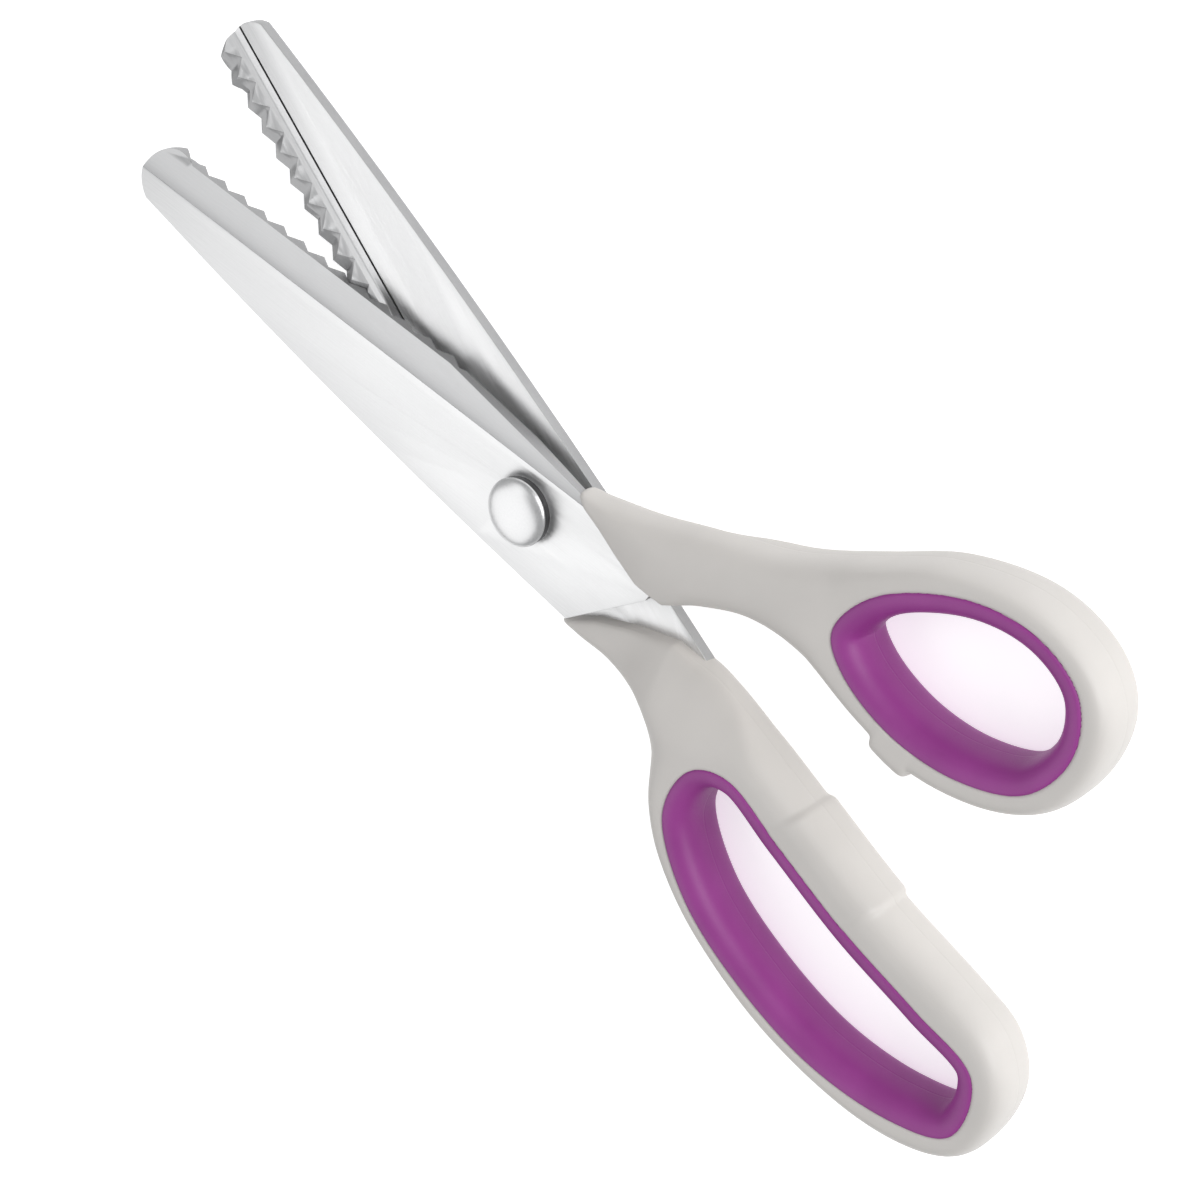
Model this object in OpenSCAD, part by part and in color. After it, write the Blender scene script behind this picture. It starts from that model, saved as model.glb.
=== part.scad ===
// Decorative edge scissors: two handed halves that turn on one shouldered bolt.
// Each half is drawn in a blade frame, with +X from the pivot to the tip, -Y towards the cut
// and +Z away from the plane in which the two blades meet, and is then turned into place.

/* [Pose] */
// Angle between the two cutting edges as the shears lie (deg)
open_angle = 29.3; // [16:0.1:50]
// Angle between the two cutting edges when the tips have met (deg)
closed_angle = 14.8; // [14.8:0.1:15.5]

/* [Blades] */
// Thickness of the steel plate
plate_t = 2.2; // [1.8:0.1:2.4]
// Distance from the meeting plane to each plate
plate_gap = 1.6; // [1.5:0.1:2]
// Distance of the cutting edge from the pivot axis
edge_offset = 13.2; // [12.8:0.1:13.6]
// Distance of the cutting edge from the pivot axis where it enters the handle
heel_offset = 9.3; // [9:0.1:10]
// Distance of the weld between plate and tooth bar from the pivot axis
seam_offset = 7.6; // [7:0.1:8]
// Slope of the bar's outer face (deg)
lip_slope = 24; // [20:1:26]
// Radius of the round tip
tip_r = 6; // [5.6:0.1:6.4]
// Distance of the tip's centre ahead of the pivot
tip_x = 90.2; // [89:0.1:91]

/* [Teeth] */
// Distance from one tooth to the next, along a radius
tooth_pitch = 4.9; // [4.7:0.05:5]
// Height of a tooth above the meeting plane
tooth_depth = 0.78; // [0.6:0.01:0.85]
// Radius of the outermost ridge
ring_r = 94.6; // [94:0.1:95]
// Number of teeth on a blade
tooth_count = 14; // [10:1:14]
// Clearance between the two toothed surfaces
mesh_gap = 0.16; // [0.12:0.01:0.3]

/* [Handles] */
// Half the thickness of a handle
grip_h = 6.5; // [6.2:0.1:7]
// Radius that rounds a handle's edges
round_r = 3.2; // [2.6:0.1:3.6]
// Wall of the soft liner inside a loop
liner_wall = 4.1; // [3:0.1:4.5]
// Half the thickness of a soft liner
liner_h = 6; // [5.5:0.1:6.4]
// Depth by which a handle is cut back where the other blade passes it
relief = 0.3; // [0.2:0.1:0.5]

/* [Pivot] */
// Radius of the bolt's domed head
head_r = 6; // [5.5:0.1:6.5]
// Height of the domed head
head_h = 2.9; // [2.4:0.1:3.2]
// Height of the head's straight side
head_side = 1.3; // [0.8:0.1:1.6]
// Radius of the bolt's shoulder
shoulder_r = 3.2; // [2.8:0.1:3.6]
// Play of the front blade on the shoulder, and under the head
play = 0.05; // [0.02:0.01:0.1]
// Radius of the bolt's threaded end
thread_r = 2.4; // [2:0.1:2.6]
// Width of the lock nut across its flats
nut_af = 8; // [7:0.5:9]
// Thickness of the spring washer
spring_t = 0.6; // [0.5:0.1:0.8]

/* [Hidden] */
$fn = 64;
steps = 3;
plate_out = plate_gap + plate_t;
meet_z = grip_h;
nut_t = grip_h - plate_out - spring_t;
crease_offset = seam_offset + plate_t * tan(lip_slope / 2) + 0.15;
edge_top = plate_out - (edge_offset - crease_offset) * tan(lip_slope);
land_in = edge_offset - 1.3;
rise_in = edge_offset - 3.9;
bar_low = -tooth_depth - mesh_gap;
finger_dir = 90 - closed_angle / 2;
thumb_dir = finger_dir + open_angle;
// Radii past the pivot that the front plate's heel and the rear plate's spine sweep
front_sweep = 28.8;
rear_sweep = 40.5;
relief_run = 11;
// The bowed spine is an arc about this point
spine_r = 1190;
spine_c = [-130.2, -1171.9];

// Rear ends of the tooth bars, inside the handles
finger_bar_end = -19;
thumb_bar_end = -12;
// Outlines of the plates behind the edge, from the cut side round the tang to the spine
finger_heel = [[-21, -8], [-36, 4.5], [-47, 8], [-48, 13.2], [-37, 12.8], [-36.6, 20]];
thumb_heel = [[-24, -10.5], [-46, -20], [-48, -15], [-34, -7.5], [-27.6, -2], [-27.3, -0.8],
              [-12, 15.5]];
// Holes in the tangs that lock the moulded handles
finger_locks = [[-36, 8.5], [-44, 10.4]];
thumb_locks = [[-33, -11], [-43, -16]];

// Outer outlines of the handles and of their soft liners
finger_rim = [
    [-6, -4], [-12, 6], [-24, 13], [-36, 15.4], [-46, 17.8],
    [-64, 21.4], [-84, 25.4], [-102, 30.9], [-112, 32.5], [-121, 27.8], [-125.9, 17],
    [-122.6, 7.2], [-112, -2.2], [-94, -10], [-76, -12.8], [-62, -11.6], [-52, -7.4],
    [-43.5, -0.8], [-36, 0.5], [-29, -3], [-22, -7], [-14, -10.2]];
finger_liner_rim = [
    [-51, 5], [-56, -4.9], [-70, -9.5], [-86, -8.2], [-102, -3.1], [-115, 6],
    [-121.6, 16.5], [-114, 26.6], [-101, 23.2], [-85, 18.3], [-68, 14.9], [-55.5, 12.4]];
thumb_rim = [
    [-4, -1], [-16, 2], [-27.6, 0], [-37, -6.2], [-46, -10.4],
    [-56, -11], [-69, -7.8], [-81, -6], [-94, -9.2], [-103, -16], [-106.6, -26],
    [-105, -36.2], [-97.5, -43], [-85.4, -44.9], [-71, -40.4], [-59, -32.2],
    [-46.4, -24], [-33, -18.8], [-22.6, -14.4], [-13, -11.3], [-4, -8.6]];
thumb_liner_rim = [
    [-65, -14.3], [-76, -10.9], [-88, -11.8], [-98.5, -17.2], [-102.5, -27.5],
    [-99, -37.2], [-89, -41.4], [-76.7, -39.1], [-64.5, -30.6], [-59.8, -20.5]];

// What is cut off the front of each handle, so that its collar follows the edge of the other
finger_collar = [[-37, 22], [-36.4, 14.2], [-31.8, 11.8], [-26.2, 5.4], [-21.4, -1.4],
                 [-18.2, -8.5], [-17.4, -16], [10, -16], [10, 22]];
thumb_collar = [[-30, 9], [-29.2, -1.8], [-24.5, -2.2], [-19.2, -4.4], [-14.6, -6.6],
                [-10.6, -8.1], [-8.6, -9.4], [-8, -16], [10, -16], [10, 9]];

// Raised stop pad on the finger handle and the nub that it meets on the thumb handle
pad = [[-65, 14], [-66.4, 22.9], [-82.6, 26.2], [-85, 20]];
nub = [[-72.2, -8], [-73.4, -5.3], [-78.6, -5], [-80.6, -8]];
pad_half = 5.6;
nub_half = 2.6;

function unit(v) = v / norm(v);

// A smooth closed curve through the points p
function smooth(p) = [for (i = [0:len(p) - 1], k = [0:steps - 1])
    let (n = len(p), t = k / steps,
         a = p[(i + n - 1) % n], b = p[i], c = p[(i + 1) % n], d = p[(i + 2) % n])
    0.5 * (2 * b + (c - a) * t + (2 * a - 5 * b + 4 * c - d) * t * t
           + (3 * b - a - 3 * c + d) * t * t * t)];

// Twice the area inside p, positive when p runs anticlockwise
function area(p) = [for (i = [0:len(p) - 1]) cross(p[i], p[(i + 1) % len(p)])]
                   * [for (i = [0:len(p) - 1]) 1];

// The curve p drawn in from its edge by d
function inset(p, d) = let (n = len(p), s = sign(area(p))) [for (i = [0:n - 1])
    let (v = unit(p[(i + 1) % n] - p[(i + n - 1) % n])) p[i] + s * d * [-v[1], v[0]]];

// Places the half with the finger handle, which lies underneath
module rear_half() {
    translate([0, 0, meet_z]) rotate([0, 0, finger_dir]) rotate([180, 0, 0]) children();
}

// Places the half with the thumb handle, which lies on top
module front_half() {
    translate([0, 0, meet_z]) rotate([0, 0, thumb_dir]) children();
}

// Outline of a blade from above
module blade_outline(heel) {
    intersection() {
        translate(spine_c) circle(r = spine_r, $fn = 2400);
        union() {
            polygon(concat([[tip_x, -8 - tip_r], [tip_x, -edge_offset], [24, -edge_offset],
                            [-10, -heel_offset]], heel, [[tip_x, 20]]));
            translate([tip_x, -8]) circle(r = tip_r);
        }
    }
}

// A section drawn across the blade, run along the blade from x = from to the tip
module along_blade(from) {
    translate([from, 0, 0]) rotate([90, 0, 90]) linear_extrude(tip_x + tip_r + 1 - from) children();
}

// Flat plate with its tang, up to the weld
module plate(heel, locks) {
    difference() {
        linear_extrude(plate_out + 1) blade_outline(heel);
        along_blade(-60) polygon([[-60, -1], [60, -1], [60, plate_gap], [-seam_offset, plate_gap],
                                  [-crease_offset, plate_out], [-crease_offset, 9], [-60, 9]]);
        along_blade(-60) translate([-30, plate_out]) square([90, 9]);
        cylinder(r = shoulder_r + play, h = 20, center = true);
        for (p = locks) translate(p) cylinder(r = 1.6, h = 20, center = true);
    }
}

// Lip that carries the cutting edge, before its teeth are cut
module bar_blank(heel, end) {
    intersection() {
        translate([0, 0, -3]) linear_extrude(9) blade_outline(heel);
        along_blade(end) polygon([[-seam_offset, plate_gap], [-crease_offset, plate_out],
                                  [-edge_offset - 1, edge_top - tan(lip_slope)],
                                  [-edge_offset - 1, bar_low], [-land_in, bar_low],
                                  [-rise_in, plate_gap]]);
    }
}

// Everything below the toothed surface: rings about the pivot, the outermost crest at radius crest
module ring_cutter(crest) {
    low = mesh_gap / 2;
    inner = crest - (tooth_count - 0.5) * tooth_pitch;
    rotate_extrude() polygon(concat(
        [[1, -4], [1, low], [inner - tooth_depth * 1.5, low]],
        [for (i = [2 * tooth_count - 1:-1:-2])
            [crest - i * tooth_pitch / 2, low + (i % 2 == 0 ? -tooth_depth : tooth_depth)]],
        [[crest + tooth_pitch, -4]]));
}

module tooth_bar(heel, end, crest) {
    difference() {
        bar_blank(heel, end);
        ring_cutter(crest);
    }
}

// A prism with its edges rounded off in steps, |z| < h, cut in by r at its two faces
module rounded(p, h, r) {
    for (k = [0:2]) let (mid = 15 + 30 * k, top = 30 * (k + 1))
        linear_extrude(2 * (h - r * (1 - sin(top))), center = true)
            polygon(inset(p, r * (1 - cos(mid))));
}

module rear_blade() color("#e4e5e6") rear_half() plate(finger_heel, finger_locks);

module rear_tooth_bar() color("#cfd0d2") rear_half()
    tooth_bar(finger_heel, finger_bar_end, ring_r);

module front_blade() color("#ececed") front_half() plate(thumb_heel, thumb_locks);

module front_tooth_bar() color("#cfd0d2") front_half()
    tooth_bar(thumb_heel, thumb_bar_end, ring_r - tooth_pitch / 2);

// Domed head, shoulder and threaded end in one turned piece
module pivot_bolt() {
    dome_h = head_h - head_side;
    dome_r = (head_r * head_r + dome_h * dome_h) / (2 * dome_h);
    head_z = meet_z + plate_out + play;
    color("#d9dadc") {
        translate([0, 0, head_z]) cylinder(r = head_r, h = head_side);
        intersection() {
            translate([0, 0, head_z + head_h - dome_r]) sphere(r = dome_r, $fn = 128);
            translate([0, 0, head_z + head_side]) cylinder(r = head_r, h = dome_h + 1);
        }
        translate([0, 0, meet_z - plate_out])
            cylinder(r = shoulder_r, h = head_z - meet_z + plate_out);
        cylinder(r = thread_r, h = meet_z - plate_out);
    }
}

// Ring between z = low and z = high
module ring(low, high, outer, inner) {
    translate([0, 0, low]) difference() {
        cylinder(r = outer, h = high - low);
        translate([0, 0, -1]) cylinder(r = inner, h = high - low + 2);
    }
}

// Keeps the two plates apart, so that the lips can reach each other
module spacer_washer() color("#b9babc")
    ring(meet_z - plate_gap, meet_z + plate_gap - play, head_r, shoulder_r + 0.02);

// Split ring that keeps the bolt tight
module spring_washer() {
    low = meet_z - plate_out - spring_t;
    color("#8d8f92") difference() {
        ring(low, low + spring_t, 4.4, thread_r + 0.1);
        translate([0, 0, low - 1]) rotate([0, 0, 30]) translate([0, -0.4, 0]) cube([8, 0.8, 4]);
    }
}

module lock_nut() color("#a9abad") difference() {
    cylinder(r = nut_af / 2 / cos(30), h = nut_t, $fn = 6);
    translate([0, 0, -1]) cylinder(r = thread_r + 0.02, h = nut_t + 2);
}

// Room for the other blade, which sweeps out to radius r, under a slope up to the handle's face
module sweep_relief(r) {
    low = plate_gap - relief;
    translate([0, 0, -grip_h - 1]) cylinder(r1 = r + relief_run, r2 = r, h = grip_h + 1 - low);
}

module finger_handle() color("#d3d0cc") rear_half() difference() {
    union() {
        rounded(smooth(finger_rim), grip_h, round_r);
        linear_extrude(2 * pad_half, center = true) polygon(pad);
    }
    linear_extrude(2 * grip_h + 2, center = true) polygon(smooth(finger_liner_rim));
    linear_extrude(2 * grip_h + 2, center = true) polygon(finger_collar);
    plate(finger_heel, finger_locks);
    bar_blank(finger_heel, finger_bar_end);
    sweep_relief(front_sweep);
}

module thumb_handle() color("#d3d0cc") front_half() difference() {
    union() {
        rounded(smooth(thumb_rim), grip_h, round_r);
        linear_extrude(2 * nub_half, center = true) polygon(nub);
    }
    linear_extrude(2 * grip_h + 2, center = true) polygon(smooth(thumb_liner_rim));
    linear_extrude(2 * grip_h + 2, center = true) polygon(thumb_collar);
    plate(thumb_heel, thumb_locks);
    bar_blank(thumb_heel, thumb_bar_end);
    sweep_relief(rear_sweep);
}

// Soft liner of a loop, with its opening flared at both faces
module liner(rim) {
    outer = smooth(rim);
    difference() {
        linear_extrude(2 * liner_h, center = true) polygon(outer);
        linear_extrude(2 * liner_h + 2, center = true) polygon(inset(outer, liner_wall));
        for (side = [-1, 1]) translate([0, 0, side * liner_h])
            linear_extrude(2, center = true) polygon(inset(outer, liner_wall - 1));
    }
}

module finger_grip() color("#9b45a0") rear_half() liner(finger_liner_rim);

module thumb_grip() color("#9b45a0") front_half() liner(thumb_liner_rim);

rear_blade();
rear_tooth_bar();
front_blade();
front_tooth_bar();
pivot_bolt();
spacer_washer();
spring_washer();
lock_nut();
finger_handle();
finger_grip();
thumb_handle();
thumb_grip();
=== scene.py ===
import math
import bmesh
import bpy
import numpy as np
from mathutils import Matrix, Vector


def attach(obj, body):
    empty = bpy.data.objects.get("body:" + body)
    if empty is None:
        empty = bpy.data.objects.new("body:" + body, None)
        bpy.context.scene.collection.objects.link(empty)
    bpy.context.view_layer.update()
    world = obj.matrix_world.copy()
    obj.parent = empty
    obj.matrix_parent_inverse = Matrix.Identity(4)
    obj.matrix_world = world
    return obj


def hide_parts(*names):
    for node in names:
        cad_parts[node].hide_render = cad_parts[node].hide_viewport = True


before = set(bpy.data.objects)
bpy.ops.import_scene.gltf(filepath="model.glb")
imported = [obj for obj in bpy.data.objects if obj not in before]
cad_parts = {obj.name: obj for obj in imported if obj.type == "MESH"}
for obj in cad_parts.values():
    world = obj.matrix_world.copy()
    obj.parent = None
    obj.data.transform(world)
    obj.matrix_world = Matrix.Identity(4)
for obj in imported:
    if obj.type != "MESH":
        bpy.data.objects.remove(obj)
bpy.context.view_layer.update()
mm = 0.001
print("frame loaded:", len(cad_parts), "nodes")

# How the two halves lie: each is drawn in a blade frame, +X from the pivot to the tip,
# -Y towards the cut, +Z away from the plane where the blades meet
halves = {
    "meetZ": 6.5,           # height of the meeting plane, mm
    "fingerTurn": 82.6,     # direction of the lower blade, degrees
    "thumbTurn": 111.9,     # direction of the upper blade
    "plateGap": 1.6,        # meeting plane to plate
    "plateOut": 3.8,        # meeting plane to the plate's outer face
}
flip = Matrix.Rotation(math.pi, 4, "X")
lift = Matrix.Translation((0, 0, halves["meetZ"] * mm))
fingerPlace = lift @ Matrix.Rotation(math.radians(halves["fingerTurn"]), 4, "Z") @ flip
thumbPlace = lift @ Matrix.Rotation(math.radians(halves["thumbTurn"]), 4, "Z")


# camera, floor and light

cameraView = {
    "place": (0.32898, -0.08411, 0.36060),
    "turn": (-22.990, 38.005, -45.690),
    "lens": 88.518,
    "near": 0.01,
}

studio = {
    "sky": (0.98, 0.99, 1.0), "skyPower": 0.46,
    "floorShade": 0.80, "floorGlow": 0.58, "floorRough": 0.9, "floorGloss": 0.1,
    "floorRadius": 40.0, "floorSides": 96,
    # name: (direction to the light, distance, width, height, radiance)
    "boxes": {
        "keyBox": ((0.86, -0.45, 0.31), 1.2, 1.0, 0.6, 4.5),
        "plateBox": ((-0.675, 0.133, 0.725), 1.2, 1.2, 1.2, 0.95),
        "lipBox": ((-0.07, 0.48, 0.875), 1.3, 0.60, 0.60, 0.86),
        "frontBox": ((0.72, -0.12, 0.70), 1.2, 0.5, 0.5, 1.35),
    },
}


def makeCamera():
    cam = bpy.data.objects.new("camera", bpy.data.cameras.new("camera"))
    cam.data.lens = cameraView["lens"]
    cam.data.clip_start = cameraView["near"]
    cam.location = cameraView["place"]
    cam.rotation_euler = [math.radians(a) for a in cameraView["turn"]]
    bpy.context.scene.collection.objects.link(cam)
    bpy.context.scene.camera = cam


def makeStudio():
    world = bpy.data.worlds.new("studioSky")
    world.use_nodes = True
    back = world.node_tree.nodes["Background"]
    back.inputs["Color"].default_value = (*studio["sky"], 1)
    back.inputs["Strength"].default_value = studio["skyPower"]
    bpy.context.scene.world = world
    for name, (way, far, wide, high, radiance) in studio["boxes"].items():
        lamp = bpy.data.lights.new(name, "AREA")
        lamp.shape = "RECTANGLE"
        lamp.size, lamp.size_y = wide, high
        lamp.energy = radiance * math.pi * wide * high
        box = bpy.data.objects.new(name, lamp)
        way = Vector(way).normalized()
        box.location = way * far
        box.rotation_euler = way.to_track_quat("Z", "Y").to_euler()
        bpy.context.scene.collection.objects.link(box)
    bm = bmesh.new()
    bmesh.ops.create_circle(bm, cap_ends=True, segments=studio["floorSides"], radius=studio["floorRadius"])
    floor = newObject("studioFloor", bm)
    floor.data.materials.append(floorPaint())
    bpy.context.scene.view_settings.view_transform = "Standard"


# mesh helpers

def newObject(name, bm):
    mesh = bpy.data.meshes.new(name)
    bm.to_mesh(mesh)
    bm.free()
    piece = bpy.data.objects.new(name, mesh)
    bpy.context.scene.collection.objects.link(piece)
    return piece


def shadeByAngle(piece, degrees):
    piece.data.shade_smooth()
    piece.data.set_sharp_from_angle(angle=math.radians(degrees))


def finishPiece(piece, body, node, paint):
    piece.data.materials.clear()
    piece.data.materials.append(paint)
    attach(piece, body)
    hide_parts(node)


# materials

def newPaint(name):
    paint = bpy.data.materials.new(name)
    paint.use_nodes = True
    tree = paint.node_tree
    return paint, tree, tree.nodes["Principled BSDF"]


def addNode(tree, kind, settings=None, **inputs):
    node = tree.nodes.new(kind)
    for key, value in (settings or {}).items():
        setattr(node, key, value)
    for key, value in inputs.items():
        node.inputs[key.replace("_", " ")].default_value = value
    return node


def objectPlace(tree, turn=0.0, stretch=(1, 1, 1)):
    where = addNode(tree, "ShaderNodeTexCoord")
    turned = addNode(tree, "ShaderNodeMapping", {"vector_type": "TEXTURE"},
                     Rotation=(0, 0, math.radians(turn)), Scale=stretch)
    tree.links.new(where.outputs["Object"], turned.inputs["Vector"])
    return turned.outputs["Vector"]


def spread(tree, value, low, high, fromLow=0.3, fromHigh=0.7):
    ranged = addNode(tree, "ShaderNodeMapRange")
    ranged.inputs["From Min"].default_value = fromLow
    ranged.inputs["From Max"].default_value = fromHigh
    ranged.inputs["To Min"].default_value = low
    ranged.inputs["To Max"].default_value = high
    tree.links.new(value, ranged.inputs["Value"])
    return ranged.outputs["Result"]


def tint(tree, value, dark, light):
    # a colour mix has its factor at input 0, its two colours at 6 and 7 and its result at output 2
    mix = addNode(tree, "ShaderNodeMix", {"data_type": "RGBA"})
    mix.inputs[6].default_value = (*dark, 1)
    mix.inputs[7].default_value = (*light, 1)
    tree.links.new(value, mix.inputs[0])
    return mix.outputs[2]


def noise(tree, place, scale, detail=3.0):
    cloud = addNode(tree, "ShaderNodeTexNoise", Scale=scale, Detail=detail)
    tree.links.new(place, cloud.inputs["Vector"])
    return cloud.outputs["Fac"]


def bump(tree, shader, height, strength, distance):
    bumps = addNode(tree, "ShaderNodeBump", Strength=strength, Distance=distance)
    tree.links.new(height, bumps.inputs["Height"])
    tree.links.new(bumps.outputs["Normal"], shader.inputs["Normal"])
    return bumps


def floorPaint():
    paint, tree, shader = newPaint("paleFloor")
    shader.inputs["Roughness"].default_value = studio["floorRough"]
    shader.inputs["Specular IOR Level"].default_value = studio["floorGloss"]
    shade = studio["floorShade"]
    shader.inputs["Base Color"].default_value = (shade, shade, shade, 1)
    shader.inputs["Emission Color"].default_value = (1, 1, 1, 1)
    shader.inputs["Emission Strength"].default_value = studio["floorGlow"]
    return paint


steels = {
    # dark and light tone, roughness low and high, length of a streak to its width, grain per metre
    "plate": {"dark": (0.73, 0.73, 0.732), "light": (0.84, 0.84, 0.84), "rough": (0.36, 0.50),
              "stretch": 30, "grain": 5200, "bump": 0.16},
    "bar": {"dark": (0.66, 0.66, 0.665), "light": (0.74, 0.74, 0.742), "rough": (0.38, 0.50),
            "stretch": 20, "grain": 5200, "bump": 0.14},
    "bolt": {"dark": (0.68, 0.68, 0.684), "light": (0.76, 0.76, 0.76), "rough": (0.28, 0.38),
             "stretch": 1, "grain": 2600, "bump": 0.03},
    # painted shade: a near-black steel for the upright side of the bolt's head, in place of its shadow and
    # dark reflection
    "headSideShade": {"dark": (0.10, 0.10, 0.102), "light": (0.15, 0.15, 0.152), "rough": (0.40, 0.55),
             "stretch": 1, "grain": 2600, "bump": 0.05},
    # painted shade: the darker tone of the steep faces' steel; its higher roughness is their own
    "edge": {"dark": (0.36, 0.36, 0.365), "light": (0.46, 0.46, 0.463), "rough": (0.42, 0.58),
             "stretch": 1, "grain": 4000, "bump": 0.12},
    "washer": {"dark": (0.46, 0.465, 0.475), "light": (0.58, 0.585, 0.59), "rough": (0.30, 0.44),
               "stretch": 1, "grain": 2600, "bump": 0.04},
}


steelLook = {
    "streakDetail": 4.0,
    "cloudStretch": 4, "clouds": 90, "cloudDetail": 2.0,
    "cloudShare": 0.35, "streakShare": 0.65,    # how much each gives to the tone
    "bumpHigh": 0.00005,
}


def steelPaint(name, kind, turn):
    steel, look = steels[kind], steelLook
    paint, tree, shader = newPaint(name)
    shader.inputs["Metallic"].default_value = 1.0
    streakPlace = objectPlace(tree, turn, (steel["stretch"], 1, 1))
    streaks = noise(tree, streakPlace, steel["grain"], look["streakDetail"])
    cloudPlace = objectPlace(tree, turn, (look["cloudStretch"], 1, 1))
    clouds = noise(tree, cloudPlace, look["clouds"], look["cloudDetail"])
    tone = addNode(tree, "ShaderNodeMath", {"operation": "ADD"})
    tree.links.new(spread(tree, clouds, 0, look["cloudShare"]), tone.inputs[0])
    tree.links.new(spread(tree, streaks, 0, look["streakShare"]), tone.inputs[1])
    tree.links.new(tint(tree, tone.outputs[0], steel["dark"], steel["light"]), shader.inputs["Base Color"])
    tree.links.new(spread(tree, streaks, *steel["rough"]), shader.inputs["Roughness"])
    bump(tree, shader, streaks, steel["bump"], look["bumpHigh"])
    return paint


plastic = {"dark": (0.560, 0.537, 0.514), "light": (0.598, 0.573, 0.549), "rough": (0.40, 0.50),
           "gloss": 0.45, "grain": 3000, "clouds": 60, "line": 0.00010}
rubber = {"dark": (0.262, 0.035, 0.228), "light": (0.308, 0.046, 0.268), "rough": (0.42, 0.54),
          "gloss": 0.42, "grain": 4200, "clouds": 80, "line": 0.00008}
mouldLook = {
    "cloudDetail": 3.0, "grainDetail": 2.0,
    "grainBump": 0.10, "grainHigh": 0.00004,
    "lineBump": 0.3, "lineHigh": 0.00012, "lineFade": 3,
}


def mouldedPaint(name, stuff):
    look = mouldLook
    paint, tree, shader = newPaint(name)
    place = objectPlace(tree)
    clouds = noise(tree, place, stuff["clouds"], look["cloudDetail"])
    grain = noise(tree, place, stuff["grain"], look["grainDetail"])
    tree.links.new(tint(tree, spread(tree, clouds, 0, 1), stuff["dark"], stuff["light"]),
                   shader.inputs["Base Color"])
    tree.links.new(spread(tree, grain, *stuff["rough"]), shader.inputs["Roughness"])
    shader.inputs["Specular IOR Level"].default_value = stuff["gloss"]
    # the fine line round the middle, where the two halves of the mould met
    parts = addNode(tree, "ShaderNodeSeparateXYZ")
    tree.links.new(place, parts.inputs[0])
    off = addNode(tree, "ShaderNodeMath", {"operation": "SUBTRACT"})
    off.inputs[1].default_value = halves["meetZ"] * mm
    tree.links.new(parts.outputs["Z"], off.inputs[0])
    away = addNode(tree, "ShaderNodeMath", {"operation": "ABSOLUTE"})
    tree.links.new(off.outputs[0], away.inputs[0])
    ridge = spread(tree, away.outputs[0], 0.0, 1.0, stuff["line"], look["lineFade"] * stuff["line"])
    fine = bump(tree, shader, grain, look["grainBump"], look["grainHigh"])
    line = addNode(tree, "ShaderNodeBump", Strength=look["lineBump"], Distance=look["lineHigh"])
    tree.links.new(ridge, line.inputs["Height"])
    tree.links.new(line.outputs["Normal"], fine.inputs["Normal"])
    return paint


# handles: a moulded form is a field that is negative inside, and its skin is meshed

handleShape = {
    "half": 6.5,            # half the thickness, mm
    "round": 7.0,           # how far the rounding reaches in from the rim
    "leastRound": 2.2,      # and at least, on a narrow ribbon
    "ribbonShare": 0.9,     # share of a ribbon's width that the rounding may take
    "fullness": 2.8,        # 2 is an ellipse, more is boxier
    "cell": 0.45,
    "quickCell": 0.8,
    "mapStep": 0.8,
    "rimSteps": 16,         # points along each stretch of an outline
    "mapMargin": 3.0,       # how far the distance maps reach past the rim
    "skinMargin": 1.5,      # and the meshed box
    "over": 1.0,            # how far the form is looked at past its faces
    "settleRounds": 4,      # times that the points are moved onto the skin
    "nudge": 0.05,          # step for the field's slope, mm
    "leastSlope": 0.05,
    "relief": 0.3,
    "reliefRun": 11.0,
    "dish": 0.55,           # how far the face sinks towards the liner
    "dishReach": 3.5,
    "ramp": 0.55,           # rise of the face behind the collar, towards the other blade
    "backRamp": 0.34,       # and on the outer side
    "collarLip": 0.7,       # height of the collar's edge above the plate
    # softness of the blends, mm
    "stopSoft": 0.6, "slabSoft": 1.2, "coneSoft": 1.6, "underSoft": 3.0, "rampSoft": 2.6,
    "backSoft": 1.4, "collarSoft": 1.2, "linerSoft": 0.35,
}

fingerHandle = {
    "rim": [(-6, -4), (-12, 6), (-24, 13), (-36, 15.4), (-46, 17.8), (-64, 21.4), (-84, 25.4),
            (-102, 30.9), (-112, 32.5), (-121, 27.8), (-125.9, 17), (-122.6, 7.2), (-112, -2.2),
            (-94, -10), (-76, -12.8), (-62, -11.6), (-52, -7.4), (-43.5, -0.8), (-36, 0.5),
            (-29, -3), (-22, -7), (-14, -10.2)],
    "linerRim": [(-51, 5), (-56, -4.9), (-70, -9.5), (-86, -8.2), (-102, -3.1), (-115, 6),
                 (-121.6, 16.5), (-114, 26.6), (-101, 23.2), (-85, 18.3), (-68, 14.9), (-55.5, 12.4)],
    "collar": [(-44, 24), (-43, 19.2), (-36.4, 14.2), (-31.8, 11.8), (-26.2, 5.4), (-21.4, -1.4),
               (-18.2, -8.5), (-17.4, -16), (10, -16), (10, 22)],
    "stop": {"middle": -75.0, "reach": 9.7, "side": 12, "proud": 0.6, "round": 5.0},
    "sweep": 28.8,
    "wall": 4.3,
}

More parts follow.
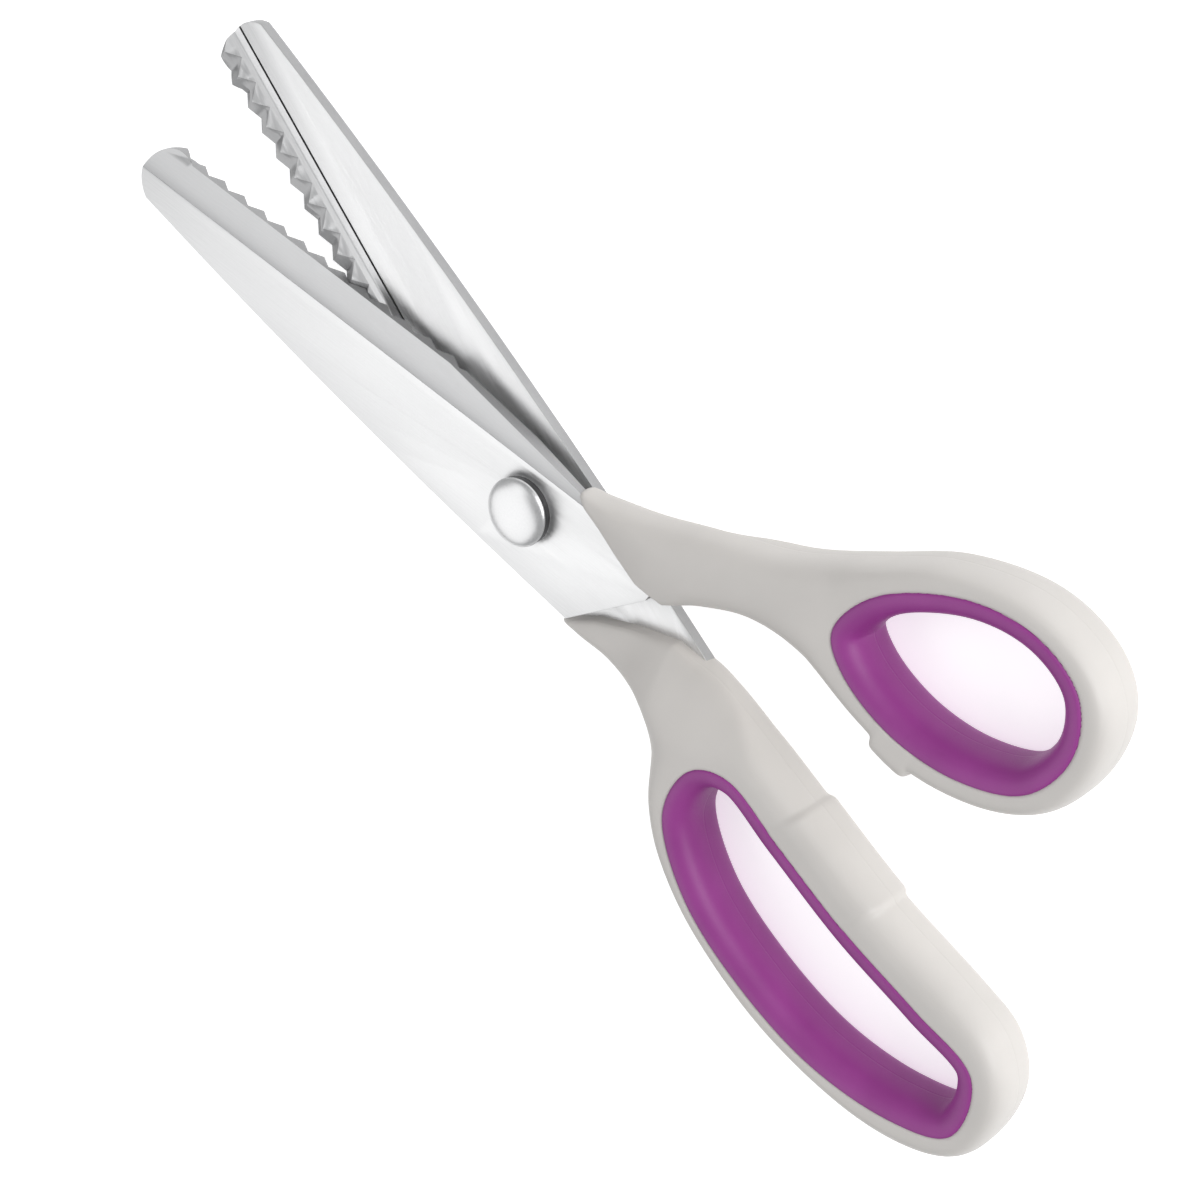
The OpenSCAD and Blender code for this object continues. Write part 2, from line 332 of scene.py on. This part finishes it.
thumbHandle = {
    "rim": [(-4, -1), (-16, 2), (-27.6, 0), (-37, -6.2), (-46, -10.4), (-56, -11), (-69, -7.8),
            (-81, -6), (-94, -9.2), (-103, -16), (-106.6, -26), (-105, -36.2), (-97.5, -43),
            (-85.4, -44.9), (-71, -40.4), (-59, -32.2), (-46.4, -24), (-33, -18.8),
            (-22.6, -14.4), (-13, -11.3), (-4, -8.6)],
    "linerRim": [(-65, -14.3), (-76, -10.9), (-88, -11.8), (-98.5, -17.2), (-102.5, -27.5),
                 (-99, -37.2), (-89, -41.4), (-76.7, -39.1), (-64.5, -30.6), (-59.8, -20.5)],
    "collar": [(-30, 9), (-29.2, -1.8), (-24.5, -2.2), (-19.2, -4.4), (-14.6, -6.6),
               (-10.6, -8.1), (-8.6, -9.4), (-8, -16), (10, -16), (10, 9)],
    "stop": {"middle": -76.5, "reach": 3.8, "side": -12, "proud": 1.6, "round": 4.0},
    "sweep": 40.5,
    "wall": 4.2,
}


def smoothLoop(points, steps):
    p = np.array(points, float)
    before, after, beyond = np.roll(p, 1, 0), np.roll(p, -1, 0), np.roll(p, -2, 0)
    rows = []
    for k in range(steps):
        t = k / steps
        rows.append(0.5 * (2 * p + (after - before) * t
                           + (2 * before - 5 * p + 4 * after - beyond) * t ** 2
                           + (3 * p - before - 3 * after + beyond) * t ** 3))
    return np.stack(rows, 1).reshape(-1, 2)


def distanceMap(outline, low, high, step):
    # signed distance to a closed outline on a grid, negative inside
    xs = np.arange(low[0] - 3 * step, high[0] + 4 * step, step)
    ys = np.arange(low[1] - 3 * step, high[1] + 4 * step, step)
    gx, gy = np.meshgrid(xs, ys, indexing="ij")
    best = np.full(gx.shape, 1e9)
    inside = np.zeros(gx.shape, bool)
    for (ax, ay), (bx, by) in zip(outline, np.roll(outline, -1, 0)):
        dx, dy = bx - ax, by - ay
        t = np.clip(((gx - ax) * dx + (gy - ay) * dy) / (dx * dx + dy * dy), 0, 1)
        best = np.minimum(best, (gx - ax - t * dx) ** 2 + (gy - ay - t * dy) ** 2)
        if ay != by:
            inside ^= ((ay > gy) != (by > gy)) & (gx < ax + (gy - ay) * dx / dy)
    return {"low": (xs[0], ys[0]), "step": step, "values": np.where(inside, -1, 1) * np.sqrt(best)}


def readMap(grid, x, y):
    # smooth cubic reading of a distance map
    total = 0.0
    u, v = (x - grid["low"][0]) / grid["step"], (y - grid["low"][1]) / grid["step"]
    values = grid["values"]
    iu = np.clip(np.floor(u).astype(int), 1, values.shape[0] - 3)
    iv = np.clip(np.floor(v).astype(int), 1, values.shape[1] - 3)
    wu, wv = cubicWeights(u - iu), cubicWeights(v - iv)
    for a in range(4):
        for b in range(4):
            total = total + wu[a] * wv[b] * values[iu + a - 1, iv + b - 1]
    return total


def cubicWeights(t):
    return [0.5 * (-t + 2 * t ** 2 - t ** 3), 0.5 * (2 - 5 * t ** 2 + 3 * t ** 3),
            0.5 * (t + 4 * t ** 2 - 3 * t ** 3), 0.5 * (-t ** 2 + t ** 3)]


def blendMin(a, b, soft):
    h = np.clip(0.5 + 0.5 * (b - a) / soft, 0, 1)
    return b + (a - b) * h - soft * h * (1 - h)


def blendMax(a, b, soft):
    return -blendMin(-a, -b, soft)


def handleField(handle):
    shape = handleShape
    rim = smoothLoop(handle["rim"], shape["rimSteps"])
    low, high = rim.min(0) - shape["mapMargin"], rim.max(0) + shape["mapMargin"]
    step = shape["mapStep"]
    rimMap = distanceMap(rim, low, high, step)
    linerMap = distanceMap(smoothLoop(handle["linerRim"], shape["rimSteps"]), low, high, step)
    collarMap = distanceMap(np.array(handle["collar"], float), low, high, step)
    reliefLow = halves["plateGap"] - shape["relief"]
    deep = shape["half"] + shape["over"]
    slope = shape["reliefRun"] / (deep - reliefLow)

    def field(x, y, z):
        rimAway, linerAway = readMap(rimMap, x, y), readMap(linerMap, x, y)
        collarAway = readMap(collarMap, x, y)
        dish = shape["dish"] * np.exp(-(np.maximum(linerAway, 0) / shape["dishReach"]) ** 2)
        up = np.abs(z) / (shape["half"] - dish)

        def form(away, reach):
            across = np.maximum(away / reach + 1, 0)
            full = shape["fullness"]
            return shape["half"] * ((across ** full + up ** full + 1e-12) ** (1 / full) - 1)

        ribbon = linerAway - rimAway
        reach = np.clip(shape["ribbonShare"] * ribbon, shape["leastRound"], shape["round"])
        body = form(rimAway, reach)
        stop = handle["stop"]
        slab = np.maximum(np.abs(x - stop["middle"]) - stop["reach"], stop["side"] - y)
        stopForm = blendMax(form(rimAway - stop["proud"], stop["round"]), slab, shape["slabSoft"])
        body = blendMin(body, stopForm, shape["stopSoft"])
        under = z + reliefLow
        cone = (np.hypot(x, y) - handle["sweep"] + slope * under) / math.hypot(1, slope)
        body = blendMax(body, -blendMax(under, cone, shape["coneSoft"]), shape["underSoft"])
        behind = np.maximum(collarAway, 0)
        body = blendMax(body, -z - reliefLow - shape["ramp"] * behind, shape["rampSoft"])
        back = z - halves["plateOut"] - shape["collarLip"] - shape["backRamp"] * behind
        body = blendMax(body, back, shape["backSoft"])
        body = blendMax(body, -collarAway, shape["collarSoft"])
        return blendMax(body, -linerAway, shape["linerSoft"])

    trim = shape["mapMargin"] - shape["skinMargin"]
    return field, (*(low + trim), -deep), (*(high - trim), deep)


def skinMesh(name, field, low, high, cell):
    # surface nets: one point in each cell that the skin passes through, then moved onto the skin
    axes = [np.arange(a, b + cell, cell) for a, b in zip(low, high)]
    values = field(axes[0][:, None, None], axes[1][None, :, None], axes[2][None, None, :])
    inside = values < 0
    cells = np.array(values.shape)
    total = np.zeros((cells.prod(), 3))
    count = np.zeros(cells.prod())
    crossings = []
    for axis in range(3):
        steps = np.eye(3, dtype=int)
        here = [slice(None)] * 3
        there = [slice(None)] * 3
        here[axis], there[axis] = slice(None, -1), slice(1, None)
        at = np.argwhere(inside[tuple(here)] != inside[tuple(there)])
        a = values[tuple(at.T)]
        b = values[tuple((at + steps[axis]).T)]
        point = at + (a / (a - b))[:, None] * steps[axis]
        side1, side2 = steps[(axis + 1) % 3], steps[(axis + 2) % 3]
        corners = []
        for back in (0 * side1, side1, side1 + side2, side2):
            key = np.ravel_multi_index(tuple((at - back).T), cells)
            corners.append(key)
            count += np.bincount(key, minlength=count.size)
            for k in range(3):
                total[:, k] += np.bincount(key, weights=point[:, k], minlength=count.size)
        corners = np.stack(corners, 1)
        outward = a < 0
        corners[~outward] = corners[~outward][:, ::-1]
        crossings.append(corners)
    used = np.flatnonzero(count)
    index = np.full(count.size, -1)
    index[used] = np.arange(used.size)
    points = total[used] / count[used, None] * cell + np.array([a[0] for a in axes])
    nudge = handleShape["nudge"]
    for _ in range(handleShape["settleRounds"]):
        value = field(*points.T)
        lean = np.stack([(field(*(points + nudge * e).T) - field(*(points - nudge * e).T)) / (2 * nudge)
                         for e in np.eye(3)], 1)
        steep = np.maximum((lean ** 2).sum(1), handleShape["leastSlope"])
        move = (value / steep)[:, None] * lean
        points -= np.clip(move, -cell / 2, cell / 2)
    mesh = bpy.data.meshes.new(name)
    mesh.from_pydata((points * mm).tolist(), [], index[np.concatenate(crossings)].tolist())
    piece = bpy.data.objects.new(name, mesh)
    bpy.context.scene.collection.objects.link(piece)
    return piece


def makeHandle(name, handle, place, body, node, paint):
    cell = handleShape["cell"]
    field, low, high = handleField(handle)
    piece = skinMesh(name, field, low, high, cell)
    piece.data.transform(place)
    piece.data.shade_smooth()
    finishPiece(piece, body, node, paint)
    print("handle", name, len(piece.data.polygons), "faces")


# liners: a profile that follows the loop

linerShape = {
    "core": 0.5,            # how far the profile's middle stands inside the loop, mm
    "tuck": 0.9,            # how far the liner reaches under the handle
    "half": 6.1,            # half its height
    "boxiness": 2.4,        # 2 is an ellipse, more is boxier
    "profilePoints": 44,
    "railSteps": 22,        # points along each stretch of the loop
}


def linerTree(paint):
    tree = bpy.data.node_groups.new("linerAlongLoop", "GeometryNodeTree")
    face = tree.interface
    face.new_socket("Loop", in_out="INPUT", socket_type="NodeSocketGeometry")
    for label in ("Inner", "Outer", "Centre", "Half height", "Power"):
        face.new_socket(label, in_out="INPUT", socket_type="NodeSocketFloat")
    face.new_socket("Profile points", in_out="INPUT", socket_type="NodeSocketInt")
    face.new_socket("Liner", in_out="OUTPUT", socket_type="NodeSocketGeometry")
    start = tree.nodes.new("NodeGroupInput")
    end = tree.nodes.new("NodeGroupOutput")

    def mathNode(operation, a, b=None):
        node = tree.nodes.new("ShaderNodeMath")
        node.operation = operation
        for socket, value in zip(node.inputs, (a, b)):
            if value is None:
                continue
            if isinstance(value, (int, float)):
                socket.default_value = value
            else:
                tree.links.new(value, socket)
        return node.outputs[0]

    def rounded(value):
        # keeps the sign and squares up a circle's coordinate
        size = mathNode("POWER", mathNode("ABSOLUTE", value), start.outputs["Power"])
        return mathNode("MULTIPLY", mathNode("SIGN", value), size)

    ring = tree.nodes.new("GeometryNodeCurvePrimitiveCircle")
    tree.links.new(start.outputs["Profile points"], ring.inputs["Resolution"])
    ring.inputs["Radius"].default_value = 1.0
    spot = tree.nodes.new("GeometryNodeInputPosition")
    split = tree.nodes.new("ShaderNodeSeparateXYZ")
    tree.links.new(spot.outputs[0], split.inputs[0])
    x, y = split.outputs["X"], split.outputs["Y"]
    inner = mathNode("MULTIPLY", mathNode("MAXIMUM", rounded(x), 0.0), start.outputs["Inner"])
    outer = mathNode("MULTIPLY", mathNode("MINIMUM", rounded(x), 0.0), start.outputs["Outer"])
    across = mathNode("ADD", mathNode("ADD", inner, outer), start.outputs["Centre"])
    join = tree.nodes.new("ShaderNodeCombineXYZ")
    tree.links.new(across, join.inputs["X"])
    tree.links.new(mathNode("MULTIPLY", rounded(y), start.outputs["Half height"]), join.inputs["Y"])
    shaped = tree.nodes.new("GeometryNodeSetPosition")
    tree.links.new(ring.outputs["Curve"], shaped.inputs["Geometry"])
    tree.links.new(join.outputs[0], shaped.inputs["Position"])
    upright = tree.nodes.new("GeometryNodeSetCurveNormal")
    upright.mode = "Z_UP"
    tree.links.new(start.outputs["Loop"], upright.inputs["Curve"])
    sweep = tree.nodes.new("GeometryNodeCurveToMesh")
    tree.links.new(upright.outputs["Curve"], sweep.inputs["Curve"])
    tree.links.new(shaped.outputs["Geometry"], sweep.inputs["Profile Curve"])
    real = tree.nodes.new("GeometryNodeRealizeInstances")
    tree.links.new(sweep.outputs["Mesh"], real.inputs[0])
    coat = tree.nodes.new("GeometryNodeSetMaterial")
    coat.inputs["Material"].default_value = paint
    tree.links.new(real.outputs[0], coat.inputs["Geometry"])
    tree.links.new(coat.outputs[0], end.inputs[0])
    return tree


def socketId(tree, label):
    return next(s.identifier for s in tree.interface.items_tree if s.name == label and s.in_out == "INPUT")


def makeLiner(name, handle, place, body, node, paint):
    loop = smoothLoop(handle["linerRim"], linerShape["railSteps"]) * mm
    spots = [place @ Vector((x, y, 0)) for x, y in loop]
    area = sum(a.x * b.y - b.x * a.y for a, b in zip(spots, spots[1:] + spots[:1]))
    if area > 0:            # run clockwise, so that the profile's +X points into the loop
        spots.reverse()
    rail = bpy.data.curves.new(name + "Rail", "CURVE")
    rail.dimensions = "3D"
    line = rail.splines.new("POLY")
    line.points.add(len(spots) - 1)
    for point, spot in zip(line.points, spots):
        point.co = (*spot, 1)
    line.use_cyclic_u = True
    guide = bpy.data.objects.new(name + "Rail", rail)
    bpy.context.scene.collection.objects.link(guide)
    tree = linerTree(paint)
    grow = guide.modifiers.new("liner", "NODES")
    grow.node_group = tree
    shape = linerShape
    inputs = {
        "Inner": (handle["wall"] - shape["core"]) * mm,
        "Outer": (shape["core"] + shape["tuck"]) * mm,
        "Centre": shape["core"] * mm,
        "Half height": shape["half"] * mm,
        "Power": 2 / shape["boxiness"],
        "Profile points": shape["profilePoints"],
    }
    for label, value in inputs.items():
        grow[socketId(tree, label)] = value
    solid = guide.evaluated_get(bpy.context.evaluated_depsgraph_get())
    piece = bpy.data.objects.new(name, bpy.data.meshes.new_from_object(solid))
    bpy.context.scene.collection.objects.link(piece)
    guide.modifiers.remove(grow)
    bpy.data.objects.remove(guide)
    piece.data.shade_smooth()
    finishPiece(piece, body, node, paint)
    print("liner", name, len(piece.data.polygons), "faces")


# blades: copies of the CAD steel with eased edges

bladeShape = {
    "weld": 0.002, "flat": 0.4,                 # doubles closer than this, mm, and faces flatter, degrees
    "snap": 0.02, "cutSnap": 0.0001,            # a point counts as on a face or a cut, mm
    "ease": 0.12, "easeAngle": 28,              # rounding of the plate's edges
    "plateSharp": 32, "barSharp": 24,           # sharper edges than this are shaded sharp, degrees
    "edgeLean": 0.4,                            # faces that stand steeper than this get the rougher, darker steel; its darker tone is painted shade
    # the lip of a tooth bar: its inner joint, its outer crease and its tooth tips, mm from the middle
    "seamAt": 7.6, "creaseAt": 8.22, "edgeAt": 13.2,
    "slope": 24.0,                              # fall of its outer face, degrees
    "seam": 0.38,                               # width of the groove at the joint
    "hollow": 0.30, "hollowRun": 0.20,          # depth of the hollow grinding and where it is deepest
    "crease": 0.04,                             # step down at the crease
    "cuts": 9, "cutBias": 1.7,                  # strips across the lip, closer near the crease
    "barFrom": -12.0, "barTo": 94.0, "lengths": 18,
}


def nodeCopy(node):
    bm = bmesh.new()
    bm.from_mesh(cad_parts[node].data)
    bmesh.ops.remove_doubles(bm, verts=bm.verts, dist=bladeShape["weld"] * mm)
    flat = math.radians(bladeShape["flat"])
    bmesh.ops.dissolve_limit(bm, angle_limit=flat, verts=bm.verts, edges=bm.edges)
    return bm


def easeEdges(piece, width, angle):
    ease = piece.modifiers.new("ease", "BEVEL")
    ease.width = width * mm
    ease.segments = 2
    ease.limit_method = "ANGLE"
    ease.angle_limit = math.radians(angle)
    ease.harden_normals = False
    solid = piece.evaluated_get(bpy.context.evaluated_depsgraph_get())
    eased = bpy.data.meshes.new_from_object(solid)
    piece.modifiers.remove(ease)
    piece.data = eased


def paintSideShade(piece, paint, isShadedSide):
    # steep faces, and faces along the blade on a bar, get a second, darker and rougher steel: the
    # roughness is the ground and sheared faces' own, the darker tone is painted shade on the sides
    piece.data.materials.append(paint)
    for face in piece.data.polygons:
        if isShadedSide(face.normal):
            face.material_index = 1


def makePlate(name, node, body, paint, sideShadePaint):
    shape = bladeShape
    piece = newObject(name, nodeCopy(node))
    easeEdges(piece, shape["ease"], shape["easeAngle"])
    shadeByAngle(piece, shape["plateSharp"])
    finishPiece(piece, body, node, paint)
    paintSideShade(piece, sideShadePaint, lambda normal: abs(normal.z) < shape["edgeLean"])
    print("plate", name, len(piece.data.polygons), "faces")


def makeBar(name, node, place, body, paint, sideShadePaint):
    shape = bladeShape
    bm = nodeCopy(node)
    bm.transform(place.inverted())
    span = shape["edgeAt"] - shape["creaseAt"]
    cuts = []
    for k in range(1, shape["cuts"]):
        across = shape["creaseAt"] + span * (k / shape["cuts"]) ** shape["cutBias"]
        cuts.append(((0, -across * mm, 0), (0, 1, 0)))
    for k in range(1, shape["lengths"] + 1):
        along = shape["barFrom"] + (shape["barTo"] - shape["barFrom"]) * k / shape["lengths"]
        cuts.append(((along * mm, 0, 0), (1, 0, 0)))
    for spot, way in cuts:
        bmesh.ops.bisect_plane(bm, geom=bm.verts[:] + bm.edges[:] + bm.faces[:],
                               dist=shape["cutSnap"] * mm, plane_co=spot, plane_no=way)
    fall = math.tan(math.radians(shape["slope"]))
    run, snap = shape["hollowRun"], shape["snap"]
    for v in bm.verts:
        across, up = -v.co.y / mm, v.co.z / mm
        outer = halves["plateOut"] - (across - shape["creaseAt"]) * fall
        if abs(up - outer) < snap and across > shape["creaseAt"] - snap:
            t = (across - shape["creaseAt"]) / span
            sink = shape["hollow"] * (1 - math.exp(-t / run) - t * (1 - math.exp(-1 / run)))
            v.co.z -= (sink + shape["crease"] * (1 - t)) * mm
        if abs(across - shape["seamAt"]) < snap and abs(up - halves["plateGap"]) < snap:
            v.co.y -= shape["seam"] * mm
    bm.transform(place)
    piece = newObject(name, bm)
    shadeByAngle(piece, shape["barSharp"])
    finishPiece(piece, body, node, paint)
    ahead = place.to_3x3() @ Vector((1, 0, 0))
    lean = shape["edgeLean"]
    paintSideShade(piece, sideShadePaint, lambda normal: abs(normal.z) < lean or abs(normal.dot(ahead)) > lean)
    print("bar", name, len(piece.data.polygons), "faces")


# pivot: bolt, washers and nut, all turned about the same axis; sizes in mm

turnedSides = 96
turnedSharp = 30            # degrees


def stitch(bm, one, two):
    # faces between two rings of points
    for k in range(len(one)):
        n = (k + 1) % len(one)
        bm.faces.new((one[k], two[k], two[n], one[n]))


def turnedSpot(radius, height, angle):
    return radius * mm * math.cos(angle), radius * mm * math.sin(angle), height * mm


def turned(name, profile, closed):
    # profile: (radius, height) points in mm from the bottom to the top along the outside
    bm = bmesh.new()
    angles = [2 * math.pi * k / turnedSides for k in range(turnedSides)]
    rings = [[bm.verts.new(turnedSpot(*point, angle)) for angle in angles] for point in profile]
    for lower, upper in zip(rings, rings[1:] + rings[:1] if closed else rings[1:]):
        stitch(bm, upper, lower)
    if not closed:
        bm.faces.new(rings[0][::-1])
        bm.faces.new(rings[-1])
    return newObject(name, bm)


def ringSection(outer, inner, low, high, soft):
    return [(outer - soft, low), (outer, low + soft), (outer, high - soft), (outer - soft, high),
            (inner + soft, high), (inner, high - soft), (inner, low + soft), (inner + soft, low)]


bolt = {
    "threadR": 2.4, "threadTurns": 5, "threadDeep": 0.22,
    "threadFrom": 0.4, "threadClear": 0.5,      # plain length at the tip, and at both ends together
    "crest": 0.08, "tipSoft": 0.35,
    "shoulderR": 3.2, "shoulderLow": 2.7,
    "headR": 6.0, "headLow": 10.35, "headEdge": 11.75, "headTop": 13.25,
    "soft": 0.1,
    "flareHigh": 0.25, "flareMiddle": (0.06, 0.12),     # the side swells out under the dome
    "headPower": 2.5,                           # 2 is a round dome, more is fuller at its rim
    "domeRings": 25, "domeStep": 3.55,          # degrees from ring to ring
}


def makeBolt(paint, headSideShadePaint):
    thread, shoulder, base = bolt["threadR"], bolt["shoulderR"], bolt["shoulderLow"]
    rim, low, edge, soft = bolt["headR"], bolt["headLow"], bolt["headEdge"], bolt["soft"]
    profile = [(thread - bolt["tipSoft"], 0.0), (thread, bolt["tipSoft"])]
    pitch = (base - bolt["threadClear"]) / bolt["threadTurns"]
    for k in range(bolt["threadTurns"]):
        start = bolt["threadFrom"] + pitch * k
        profile += [(thread, start + bolt["crest"]), (thread - bolt["threadDeep"], start + pitch / 2),
                    (thread, start + pitch - bolt["crest"])]
    flareIn, flareUp = bolt["flareMiddle"]
    profile += [(thread, base), (shoulder - soft, base), (shoulder, base + soft), (shoulder, low),
                (rim - 2 * soft, low), (rim - soft, low + soft), (rim - soft, edge - bolt["flareHigh"]),
                (rim - flareIn, edge - flareUp), (rim, edge)]
    domeHigh = bolt["headTop"] - edge
    for k in range(1, bolt["domeRings"] + 1):
        a = math.radians(bolt["domeStep"] * k)
        profile.append((rim * math.cos(a) ** (2 / bolt["headPower"]), edge + domeHigh * math.sin(a)))
    piece = turned("pivotBolt", profile, False)
    shadeByAngle(piece, turnedSharp)
    finishPiece(piece, "finger_half", "pivot_bolt", paint)
    # the upright side of the head gets the near-black steel: painted shade, standing in for the dark band
    # of shadow and reflection at the head's side
    piece.data.materials.append(headSideShadePaint)
    for face in piece.data.polygons:
        spot = face.center / mm
        if low + soft / 2 < spot.z < edge - soft and math.hypot(spot.x, spot.y) > shoulder + soft:
            face.material_index = 1


spacer = {"outerR": 6.0, "clear": 0.02, "low": 4.9, "high": 8.05, "soft": 0.15}


def makeSpacer(paint):
    inner = bolt["shoulderR"] + spacer["clear"]
    section = ringSection(spacer["outerR"], inner, spacer["low"], spacer["high"], spacer["soft"])
    piece = turned("spacerRing", section, True)
    shadeByAngle(piece, turnedSharp)
    finishPiece(piece, "finger_half", "spacer_washer", paint)


spring = {
    "outerR": 4.4, "innerR": 2.5, "low": 2.1, "thick": 0.6, "soft": 0.1,
    "gap": 14.0, "gapAt": 30,                   # width and place of the split, degrees
    "slant": 5.0,                               # the split is cut on a slant
    "steps": 80,
}


def makeSpring(paint):
    low, thick = spring["low"], spring["thick"]
    section = ringSection(spring["outerR"], spring["innerR"], low, low + thick, spring["soft"])
    bm = bmesh.new()
    rings = []
    for k in range(spring["steps"] + 1):
        turn = spring["gapAt"] + spring["gap"] / 2 + (360 - spring["gap"]) * k / spring["steps"]
        ring = []
        for radius, height in section:
            skew = spring["slant"] * (height - low) / thick
            ring.append(bm.verts.new(turnedSpot(radius, height, math.radians(turn + skew))))
        rings.append(ring)
    for one, two in zip(rings, rings[1:]):
        stitch(bm, one, two)
    bm.faces.new(rings[0])
    bm.faces.new(rings[-1][::-1])
    piece = newObject("springRing", bm)
    shadeByAngle(piece, turnedSharp)
    finishPiece(piece, "finger_half", "spring_washer", paint)


nut = {
    "across": 8.0, "high": 2.1, "holeR": 2.42, "soft": 0.25,
    "cornerShare": 0.94, "cornerFall": 30,      # flat part of the faces, and the fall of the cut corners
    "sides": 120, "sharp": 20,
}


def makeNut(paint):
    flat, high, hole, soft = nut["across"] / 2, nut["high"], nut["holeR"], nut["soft"]
    cut = flat * nut["cornerShare"]
    bm = bmesh.new()
    rings = []
    for k in range(nut["sides"]):
        turn = 360 * k / nut["sides"]
        corner = flat / math.cos(math.radians((turn % 60) - 30))
        drop = (corner - cut) * math.tan(math.radians(nut["cornerFall"]))
        section = [(hole + soft, 0), (cut, 0), (corner, drop), (corner, high - drop),
                   (cut, high), (hole + soft, high), (hole, high - soft), (hole, soft)]
        rings.append([bm.verts.new(turnedSpot(r, h, math.radians(turn))) for r, h in section])
    for one, two in zip(rings, rings[1:] + rings[:1]):
        stitch(bm, one, two)
    piece = newObject("lockNut", bm)
    shadeByAngle(piece, nut["sharp"])
    finishPiece(piece, "finger_half", "lock_nut", paint)


makeCamera()
makeStudio()
print("camera and studio made")

plasticPaint = mouldedPaint("satinPlastic", plastic)
rubberPaint = mouldedPaint("softRubber", rubber)
makeHandle("fingerHandle", fingerHandle, fingerPlace, "finger_half", "finger_handle", plasticPaint)
makeHandle("thumbHandle", thumbHandle, thumbPlace, "thumb_half", "thumb_handle", plasticPaint)
makeLiner("fingerLiner", fingerHandle, fingerPlace, "finger_half", "finger_grip", rubberPaint)
makeLiner("thumbLiner", thumbHandle, thumbPlace, "thumb_half", "thumb_grip", rubberPaint)

# the steep faces' steel, whose darker tone is painted shade
sideShadePaint = steelPaint("sideShadeSteel", "edge", 0)
makePlate("rearPlate", "rear_blade", "finger_half",
          steelPaint("rearPlateSteel", "plate", halves["fingerTurn"]), sideShadePaint)
makePlate("frontPlate", "front_blade", "thumb_half",
          steelPaint("frontPlateSteel", "plate", halves["thumbTurn"]), sideShadePaint)
makeBar("rearBar", "rear_tooth_bar", fingerPlace, "finger_half",
        steelPaint("rearBarSteel", "bar", halves["fingerTurn"]), sideShadePaint)
makeBar("frontBar", "front_tooth_bar", thumbPlace, "thumb_half",
        steelPaint("frontBarSteel", "bar", halves["thumbTurn"]), sideShadePaint)
print("blades made")

washerPaint = steelPaint("washerSteel", "washer", 0)
# the second steel is painted shade for the upright side of the head
makeBolt(steelPaint("boltSteel", "bolt", 0), steelPaint("headSideShadeSteel", "headSideShade", 0))
makeSpacer(washerPaint)
makeSpring(washerPaint)
makeNut(washerPaint)
print("pivot made")
